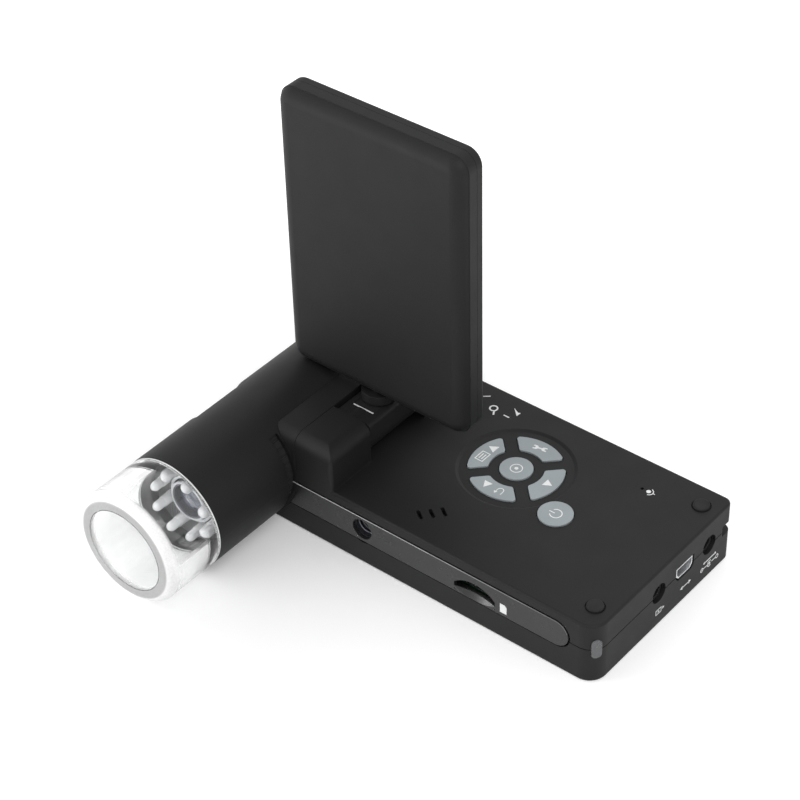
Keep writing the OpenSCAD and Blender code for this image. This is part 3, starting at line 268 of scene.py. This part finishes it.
def coated_glass(name, color, clearness):
    """Dark lens glass with a bluish coat that shines."""
    finish = Finish(name, color, 0.02)
    finish.set("Transmission Weight", clearness)
    finish.set("IOR", 1.7)
    finish.set("Coat Weight", 1.0)
    finish.set("Coat IOR", 1.9)
    finish.rough(finish.noise(4, 2), 0.01, 0.05)
    return finish.material


def painted_highlight_line(name, start, end):
    """Painted highlight: a light line, brightest at start along X and fading towards end, in
    metres.
    """
    finish = Finish(name, (0.8, 0.8, 0.8), 0.35)
    # The colour ramp along X is the painted highlight
    level = finish.ramp(finish.coordinate("X"), start, end, 0.75, 0.1)
    level = finish.math("MULTIPLY", level, finish.spread(finish.noise(3, 3), 0.85, 1.1))
    finish.links.new(finish.grey(level), finish.shader.inputs["Base Color"])
    return finish.material


def rubber(name, color):
    """Matt rubber with a coarse grain and uneven wear."""
    finish = Finish(name, color, 0.72)
    finish.set("Specular IOR Level", 0.3)
    finish.rough(finish.noise(3, 3), 0.66, 0.82)
    finish.tint(finish.noise(7, 4), 0.15)
    finish.bump(finish.noise(0.3, 3), 0.02, 0.7)
    return finish.material


def circuit_board(name, color):
    """Lacquered board with a faint pattern of tracks under the lacquer."""
    finish = Finish(name, color, 0.35)
    wave = finish.nodes.new("ShaderNodeTexWave")
    wave.inputs["Scale"].default_value = 320
    wave.inputs["Distortion"].default_value = 3.0
    finish.links.new(finish.place, wave.inputs["Vector"])
    finish.tint(wave.outputs["Fac"], 0.25)
    finish.rough(finish.noise(4, 2), 0.3, 0.42)
    finish.bump(wave.outputs["Fac"], 0.02, 0.4)
    return finish.material


# In moulded and metal, the two numbers after the colour are the range of the roughness
FINISHES = {
    "case_black": soft_touch("case_black", (0.0076, 0.0078, 0.0076)),
    "gloss_black": moulded("gloss_black", (0.0145, 0.0145, 0.0155), 0.24, 0.36,
                           grain_mm=0.5, depth_mm=0.004),
    "key_grey": moulded("key_grey", (0.29, 0.325, 0.34), 0.38, 0.5,
                        grain_mm=0.3, depth_mm=0.008),
    "clear_plastic": ground_end("clear_plastic", (0.99, 0.995, 0.995), "clear_cap",
                                bore_mm=13, round_mm=3.15),
    "lamp_plastic": milky("lamp_plastic", (0.9, 0.91, 0.92), 0.25, 0.2),
    "white_plastic": moulded("white_plastic", (0.86, 0.87, 0.87), 0.35, 0.45),
    "smoke_plastic": milky("smoke_plastic", (0.2, 0.205, 0.21), 0.5, 0.2),
    "optical_glass": coated_glass("optical_glass", (0.1, 0.12, 0.2), 0.5),
    "screen_glass": moulded("screen_glass", (0.006, 0.006, 0.008), 0.04, 0.09,
                            grain_mm=3.0, depth_mm=0.001),
    "lcd": moulded("lcd", (0.012, 0.013, 0.017), 0.12, 0.18, grain_mm=2.0, depth_mm=0.001),
    "board_green": circuit_board("board_green", (0.006, 0.026, 0.013)),
    "board_black": circuit_board("board_black", (0.12, 0.122, 0.127)),
    "foil": metal("foil", (0.62, 0.65, 0.68), 0.3, 0.45),
    "dark_screw": metal("dark_screw", (0.07, 0.07, 0.075), 0.3, 0.45),
    "bright_steel": metal("bright_steel", (0.6, 0.61, 0.62), 0.22, 0.36, (1, 1, 12)),
    "bright_metal": metal("bright_metal", (0.74, 0.75, 0.77), 0.4, 0.55),
    "brass": metal("brass", (0.62, 0.47, 0.22), 0.2, 0.35, (1, 12, 1)),
    "black_anodised": metal("black_anodised", (0.16, 0.163, 0.18), 0.35, 0.5, (1, 8, 1)),
    "black_rubber": rubber("black_rubber", (0.012, 0.012, 0.012)),
    "silicone": rubber("silicone", (0.55, 0.57, 0.55)),
    "white_print": moulded("white_print", (0.8, 0.81, 0.81), 0.4, 0.5),
    # Painted highlight along the side cover's upper edge, fading along the cover
    "cover_highlight_paint": painted_highlight_line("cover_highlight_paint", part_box("side_cover")[0].x,
                              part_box("side_cover")[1].x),
    # Light grey of the hinge plate's front edge line: a painted highlight
    "plate_highlight_paint": moulded("plate_highlight_paint", (0.62, 0.63, 0.62), 0.25, 0.35),
}


def dress_frame():
    """Gives each CAD node the finish of its slot in the record."""
    for entry in frame["record"]["subparts"]:
        node = frame["nodes"][entry["node"]]
        node.data.materials.clear()
        node.data.materials.append(FINISHES[entry["material_slot"]])


# ---------------------------------------------------------------- new pieces

def finish_piece(obj, body, slot, finish=None):
    """Gives a new piece its finish, that of slot unless finish names another, and the body it
    rides on.
    """
    obj.data.materials.clear()
    obj.data.materials.append(FINISHES[finish or slot])
    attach(obj, body)


def mesh_from(curve):
    """Turns a curve into a mesh object of the same name."""
    path = bpy.data.objects.new(curve.name + "_path", curve)
    bpy.context.scene.collection.objects.link(path)
    bpy.context.view_layer.update()
    mesh = bpy.data.meshes.new_from_object(path)
    bpy.data.objects.remove(path)
    obj = bpy.data.objects.new(curve.name, mesh)
    bpy.context.scene.collection.objects.link(obj)
    return obj


# A sign is a list of outlines, and an outline is a list of (u, v) points in mm.
# An outline inside another one is a hole.

def polygon(*points):
    """Filled outline through the points."""
    return [list(points)]


def circle(cu, cv, r, count=40):
    """One round outline, of count points."""
    turns = [2*math.pi*k/count for k in range(count)]
    return [(cu + r*math.cos(a), cv + r*math.sin(a)) for a in turns]


def ring(cu, cv, r, line):
    """Stroke of width line round a circle."""
    return [circle(cu, cv, r + line/2), circle(cu, cv, r - line/2)]


def circle_pair(at, r):
    """Two filled circles, at u = -at and u = at."""
    return [circle(-at, 0, r, 20), circle(at, 0, r, 20)]


def bar(a, b, line):
    """Straight stroke of width line from a to b."""
    along = (Vector(b) - Vector(a)).normalized()
    side = Vector((-along.y, along.x))*line/2
    corners = [Vector(a) + side, Vector(a) - side, Vector(b) - side, Vector(b) + side]
    return [[tuple(c) for c in corners]]


def arc(cu, cv, r, line, start, end, count=32):
    """Stroke along part of a circle, from start to end in degrees."""
    turns = [math.radians(start + (end - start)*k/count) for k in range(count + 1)]
    outer = [(cu + (r + line/2)*math.cos(a), cv + (r + line/2)*math.sin(a)) for a in turns]
    inner = [(cu + (r - line/2)*math.cos(a), cv + (r - line/2)*math.sin(a)) for a in turns]
    return [outer + inner[::-1]]


def box_outline(u0, v0, u1, v1, line):
    """Stroke of width line just inside a rectangle."""
    outer = [(u0, v0), (u1, v0), (u1, v1), (u0, v1)]
    inner = [(u0 + line, v0 + line), (u1 - line, v0 + line),
             (u1 - line, v1 - line), (u0 + line, v1 - line)]
    return [outer, inner]


def wrench(length, head, slim):
    """Open-ended wrench along u, one jaw at each end."""
    half = length/2
    lower = [(half - head*0.4, -head*0.16), (half, -head*0.22), (half - head*0.1, -head*0.5),
             (half - head*0.7, -head*0.45), (half - head*0.95, -slim/2)]
    right = [(u, -v) for u, v in lower[::-1]] + lower
    return [right + [(-u, -v) for u, v in right]]


def turned(outlines, degrees):
    """The same outlines turned about (0, 0)."""
    cos, sin = math.cos(math.radians(degrees)), math.sin(math.radians(degrees))
    return [[(u*cos - v*sin, u*sin + v*cos) for u, v in line] for line in outlines]


def return_bow():
    """Two level strokes, joined at the right by half a circle."""
    steps = 20
    outline = arc(0.35, 0, 0.95, 0.3, 90, -90, steps)[0]
    outer, inner = outline[:steps + 1], outline[steps + 1:]
    return [[(-0.5, 1.1)] + outer + [(-1.1, -1.1), (-1.1, -0.8)] + inner + [(-0.5, 0.8)]]


# Thickness of a printed sign, and how much of it lies below the surface
PRINT_MM = 0.03
SUNK_MM = 0.01
# Points of a filled curve that are closer than this, in metres, are one point
SAME_POINT = 1e-7


def print_sign(name, outlines, origin, right, up, body, slot, finish="white_print"):
    """A printed sign: filled outlines, as thin as paint, on the plane through origin.

    Its u runs along right and its v along up.
    """
    curve = bpy.data.curves.new(name, "CURVE")
    curve.dimensions = "2D"
    curve.fill_mode = "BOTH"
    curve.extrude = PRINT_MM/2*MM
    for line in outlines:
        spline = curve.splines.new("POLY")
        spline.points.add(len(line) - 1)
        for point, (u, v) in zip(spline.points, line):
            point.co = (u*MM, v*MM, 0, 1)
        spline.use_cyclic_u = True
    sign = mesh_from(curve)
    weld = bmesh.new()
    weld.from_mesh(sign.data)
    bmesh.ops.remove_doubles(weld, verts=weld.verts, dist=SAME_POINT)
    weld.to_mesh(sign.data)
    weld.free()
    right, up = Vector(right), Vector(up)
    out = right.cross(up)
    turn = Matrix((right, up, out)).transposed().to_4x4()
    lift = out*(PRINT_MM/2 - SUNK_MM)*MM
    sign.data.transform(Matrix.Translation(Vector(origin) + lift) @ turn)
    finish_piece(sign, body, slot, finish)


def top_centre(node):
    """Middle of the upper face of a node's box."""
    low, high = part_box(node)
    return Vector(((low.x + high.x)/2, (low.y + high.y)/2, high.z))


# The signs on the case top read along +Y, with their upper side towards the barrel
READ = (0, 1, 0)
RISE = (-1, 0, 0)


def key_signs():
    """Plain signs on the six keys; du and dv are in mm from the middle of the OK key."""
    stroke = 0.34
    middle = top_centre("key_ok")

    def on_key(name, key, outlines, du=0.0, dv=0.0):
        spot = middle + Vector((-dv*MM, du*MM, 0))
        spot.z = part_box(key)[1].z
        print_sign(name, outlines, spot, READ, RISE, key, "key_grey")

    on_key("sign_list_frame", "key_menu", box_outline(-2.1, -1.45, 2.1, 1.45, stroke), -1.65, 10.9)
    on_key("sign_list_lines", "key_menu",
           bar((-1.2, 0.45), (1.2, 0.45), 0.36) + bar((-1.2, -0.45), (1.2, -0.45), 0.36),
           -1.65, 10.9)
    on_key("sign_up", "key_menu", polygon((-1.6, -1.2), (1.6, -1.2), (0, 1.5)), 3.0, 10.7)
    on_key("sign_wrench", "key_setup", turned(wrench(4.4, 1.8, 0.6), -78), 11.2, -0.1)
    on_key("sign_left", "key_back", polygon((1.3, 1.4), (1.3, -1.4), (-1.4, 0)), -10.8, 2.6)
    on_key("sign_return_bow", "key_back", return_bow(), -10.8, -2.2)
    on_key("sign_return_head", "key_back", polygon((-0.55, 1.6), (-0.55, 0.3), (-1.5, 0.95)),
           -10.8, -2.2)
    on_key("sign_down", "key_down", polygon((-1.5, 1.2), (1.5, 1.2), (0, -1.35)), 0.1, -11.2)
    on_key("sign_ring", "key_ok", ring(0, 0, 1.75, stroke))
    on_key("sign_dot", "key_ok", [circle(0, 0, 0.6, 24)])
    power = top_centre("key_power")
    print_sign("sign_power_ring", arc(0, -0.1, 1.75, stroke, 125, 415), power, READ, RISE,
               "key_power", "key_grey")
    print_sign("sign_power_bar", bar((0, 0.3), (0, 2.15), stroke), power, READ, RISE,
               "key_power", "key_grey")


def case_point(from_ports, from_front, height):
    """A point of the case, in mm from the ports end, the front side and the table."""
    low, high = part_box("bottom_case")
    return Vector((high.x - from_ports*MM, low.y + from_front*MM, height*MM))


# The rest pads stand this far above the case top
PAD_RISE_MM = 0.7


def top_signs():
    """Small plain signs beside the screen's foot and beside the microphone hole."""
    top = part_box("screen_pads")[1].z/MM - PAD_RISE_MM
    lens, microphone = (77.9, 57.7), (19.8, 54.8)

    def on_top(name, outlines, from_ports, from_front):
        print_sign(name, outlines, case_point(from_ports, from_front, top), READ, RISE, "case",
                   "case_black")

    on_top("sign_lens", ring(0, 0, 1.15, 0.5), *lens)
    on_top("sign_lens_handle", bar((-1.0, -0.9), (-2.5, -1.75), 0.55), *lens)
    on_top("sign_tick_a", bar((-0.7, 0.85), (0.7, -0.85), 0.4), 82.9, 60.9)
    on_top("sign_tick_b", bar((0, 1.0), (0, -1.0), 0.45), 72.7, 57.0)
    on_top("sign_pointer", polygon((1.3, 1.5), (-1.35, -1.35), (0.5, -1.5), (0.2, -0.7)),
           71.7, 60.2)
    on_top("sign_sound_head", [circle(0, 1.1, 0.7, 24)], *microphone)
    on_top("sign_sound_bow", arc(0, 1.0, 1.3, 0.3, 190, 350, 20), *microphone)
    on_top("sign_sound_stem", bar((0, -1.0), (0, -0.5), 0.3), *microphone)


def card_sign():
    """Sign of a small card with one cut corner, on the face of the side cover."""
    spot = case_point(30.6, 0, 11.2)
    spot.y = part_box("side_cover")[0].y
    card = polygon((-1.15, -1.6), (1.15, -1.6), (1.15, 0.9), (0.45, 1.6), (-1.15, 1.6))
    print_sign("sign_card", card, spot, (1, 0, 0), (0, 0, 1), "case", "gloss_black")


def port_signs():
    """Plain signs below the three sockets, reading along +Y on the socket end."""
    picture, data = (30.6, 5.3), (43.9, 5.4)
    current, poles = (55.6, 6.6), (55.6, 4.7)

    def at_end(name, outlines, from_front, height):
        print_sign(name, outlines, case_point(0, from_front, height), (0, 1, 0), (0, 0, 1),
                   "case", "case_black")

    at_end("sign_picture_frame", box_outline(-1.7, -0.9, 1.1, 0.95, 0.28), *picture)
    at_end("sign_picture_play", polygon((-0.65, -0.42), (-0.65, 0.45), (0.25, 0)), *picture)
    at_end("sign_picture_out", polygon((1.6, 0.6), (1.6, -0.55), (2.5, 0)), *picture)
    at_end("sign_data_bar", bar((-1.7, 0), (1.0, 0), 0.34), *data)
    at_end("sign_data_head_a", polygon((1.15, 0.75), (1.15, -0.75), (2.3, 0)), *data)
    at_end("sign_data_head_b", polygon((-1.85, 0.75), (-1.85, -0.75), (-3.0, 0)), *data)
    at_end("sign_current_bar", bar((-2.6, 0), (2.6, 0), 0.42), *current)
    at_end("sign_current_ends", circle_pair(2.7, 0.45), *current)
    at_end("sign_pole_line_a", bar((-3.1, 0), (-1.1, 0), 0.34), *poles)
    at_end("sign_pole_line_b", bar((1.1, 0), (3.1, 0), 0.34), *poles)
    at_end("sign_pole_ring", arc(0, 0, 1.0, 0.34, 50, 310), *poles)
    at_end("sign_pole_dot", [circle(0, 0, 0.5, 20)], *poles)
    at_end("sign_minus", ring(-3.8, 0, 0.62, 0.3) + bar((-4.15, 0), (-3.45, 0), 0.26), *poles)
    at_end("sign_plus", ring(3.8, 0, 0.62, 0.3), *poles)


def paint_cover_highlight():
    """Painted highlight along the upper edge of the side cover, bent down at the cover's round
    end.
    """
    low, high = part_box("side_cover")
    line = 0.24
    length, half = (high.x - low.x)/MM, (high.z - low.z)/MM/2
    bend, middle_line = length - half, half - line/2
    outline = (bar((0, middle_line), (bend, middle_line), line)
               + arc(bend, 0, middle_line, line, 90, 20))
    print_sign("side_cover_highlight_line", outline, Vector((low.x, low.y, (low.z + high.z)/2)),
               (1, 0, 0), (0, 0, 1), "case", "gloss_black", "cover_highlight_paint")


def paint_plate_highlight():
    """Painted highlight: a light grey line along the front edge of the glossy plate on the hinge
    arm.
    """
    low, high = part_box("swivel_plate")
    length, line = (high.x - low.x)/MM, 0.5
    print_sign("plate_highlight_paint", polygon((0, 0), (length, 0), (length, line), (0, line)),
               Vector((low.x, low.y, high.z)), (1, 0, 0), (0, 1, 0), "arm", "gloss_black",
               "plate_highlight_paint")


def insert_thread():
    """Thread of the tripod insert: a helix of round ridge along the hole's wall."""
    low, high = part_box("tripod_insert")
    middle = (low + high)/2
    radius, ridge, pitch = 3.1*MM, 0.3*MM, 1.27*MM
    per_turn = 32
    turns = (high.y - low.y - 2*pitch)/pitch
    curve = bpy.data.curves.new("insert_thread", "CURVE")
    curve.dimensions = "3D"
    curve.bevel_depth = ridge
    curve.use_fill_caps = True
    spline = curve.splines.new("POLY")
    spline.points.add(round(turns*per_turn))
    for k, point in enumerate(spline.points):
        angle = 2*math.pi*k/per_turn
        point.co = (middle.x + radius*math.cos(angle), low.y + pitch/2 + pitch*k/per_turn,
                    middle.z + radius*math.sin(angle), 1)
    finish_piece(mesh_from(curve), "case", "black_anodised")


# ---------------------------------------------------------------- studio

def seen_ray(nodes, links):
    """1 for rays from the camera, from gloss and through clear parts, else 0."""
    path = nodes.new("ShaderNodeLightPath")
    total = path.outputs["Is Camera Ray"]
    for kind in ("Is Glossy Ray", "Is Transmission Ray"):
        either = nodes.new("ShaderNodeMath")
        either.operation = "MAXIMUM"
        links.new(total, either.inputs[0])
        links.new(path.outputs[kind], either.inputs[1])
        total = either.outputs[0]
    return total


# Point of the floor beside the barrel, where the object's shadow is deepest, deepened by painted
# shade
DEEPEST = (-0.04, -0.03, 0)


def floor():
    """A pale floor that reads as the white of the background and keeps the shadow.

    It glows by itself, for seen rays only, and least near DEEPEST,
    painting shade there and painting light over the shadows further off.
    """
    mesh = bmesh.new()
    bmesh.ops.create_grid(mesh, x_segments=1, y_segments=1, size=6.0)
    data = bpy.data.meshes.new("floor")
    mesh.to_mesh(data)
    mesh.free()
    obj = bpy.data.objects.new("floor", data)
    bpy.context.scene.collection.objects.link(obj)
    paper = Finish("floor", (0.93, 0.93, 0.93), 0.9)
    paper.set("Specular IOR Level", 0.05)
    away = paper.nodes.new("ShaderNodeVectorMath")
    away.operation = "DISTANCE"
    paper.links.new(paper.place, away.inputs[0])
    away.inputs[1].default_value = DEEPEST
    # Less glow near DEEPEST is painted shade; more glow further off is painted light over the
    # shadows
    glow = paper.ramp(away.outputs["Value"], 0.04, 0.32, 0.12, 0.62)
    paper.set("Emission Color", (1, 1, 1, 1))
    paper.links.new(paper.math("MULTIPLY", glow, seen_ray(paper.nodes, paper.links)),
                    paper.shader.inputs["Emission Strength"])
    obj.data.materials.append(paper.material)


# Strength of the white surroundings where they light the object, and where they are seen
LIT_BY, SEEN_AS = 0.62, 1.0


def background():
    """White where the camera, gloss or clear parts see it, and softer as a light."""
    world = bpy.data.worlds.new("studio")
    bpy.context.scene.world = world
    world.use_nodes = True
    nodes, links = world.node_tree.nodes, world.node_tree.links
    nodes.clear()
    mix = nodes.new("ShaderNodeMixShader")
    links.new(seen_ray(nodes, links), mix.inputs["Fac"])
    for socket, strength in ((1, LIT_BY), (2, SEEN_AS)):
        white = nodes.new("ShaderNodeBackground")
        white.inputs["Color"].default_value = (1, 1, 1, 1)
        white.inputs["Strength"].default_value = strength
        links.new(white.outputs["Background"], mix.inputs[socket])
    out = nodes.new("ShaderNodeOutputWorld")
    links.new(mix.outputs["Shader"], out.inputs["Surface"])


def lamp(name, at, aim, size, watts):
    """A flat rectangular light at one point that faces another."""
    light = bpy.data.lights.new(name, "AREA")
    light.shape = "RECTANGLE"
    light.size, light.size_y = size
    light.energy = watts
    obj = bpy.data.objects.new(name, light)
    obj.location = at
    obj.rotation_euler = (Vector(aim) - Vector(at)).to_track_quat("-Z", "Y").to_euler()
    bpy.context.scene.collection.objects.link(obj)


def lights():
    """Three soft lights on the whole object and a small low one on the finger scoop's side."""
    middle = (0, 0, 0.04)
    scoop = case_point(40, 0, 10)
    lamp("key_light", (0.55, -0.35, 0.85), middle, (0.6, 0.6), 4.2)
    lamp("fill_light", (-0.75, -0.5, 0.5), middle, (0.7, 0.7), 2.4)
    lamp("low_light", (-0.42, -0.5, 0.1), scoop, (0.14, 0.1), 0.9)
    lamp("back_light", (-0.1, 0.9, 0.6), middle, (0.8, 0.4), 1.2)


def camera():
    """The photograph's view, in metres and degrees."""
    place = (0.322732, -0.384228, 0.468795)
    azimuth, elevation, roll = 40.1, 39.15, -1.64
    view = bpy.data.cameras.new("camera")
    view.lens = 108
    view.sensor_width = 36
    view.clip_start, view.clip_end = 0.01, 20
    obj = bpy.data.objects.new("camera", view)
    turn = (Matrix.Rotation(math.radians(azimuth), 4, "Z")
            @ Matrix.Rotation(math.radians(90 - elevation), 4, "X")
            @ Matrix.Rotation(math.radians(roll), 4, "Z"))
    obj.matrix_world = Matrix.Translation(place) @ turn
    bpy.context.scene.collection.objects.link(obj)
    bpy.context.scene.camera = obj


dress_frame()
key_signs()
top_signs()
card_sign()
port_signs()
paint_cover_highlight()
paint_plate_highlight()
insert_thread()
floor()
background()
lights()
camera()
bpy.context.scene.view_settings.view_transform = "Standard"
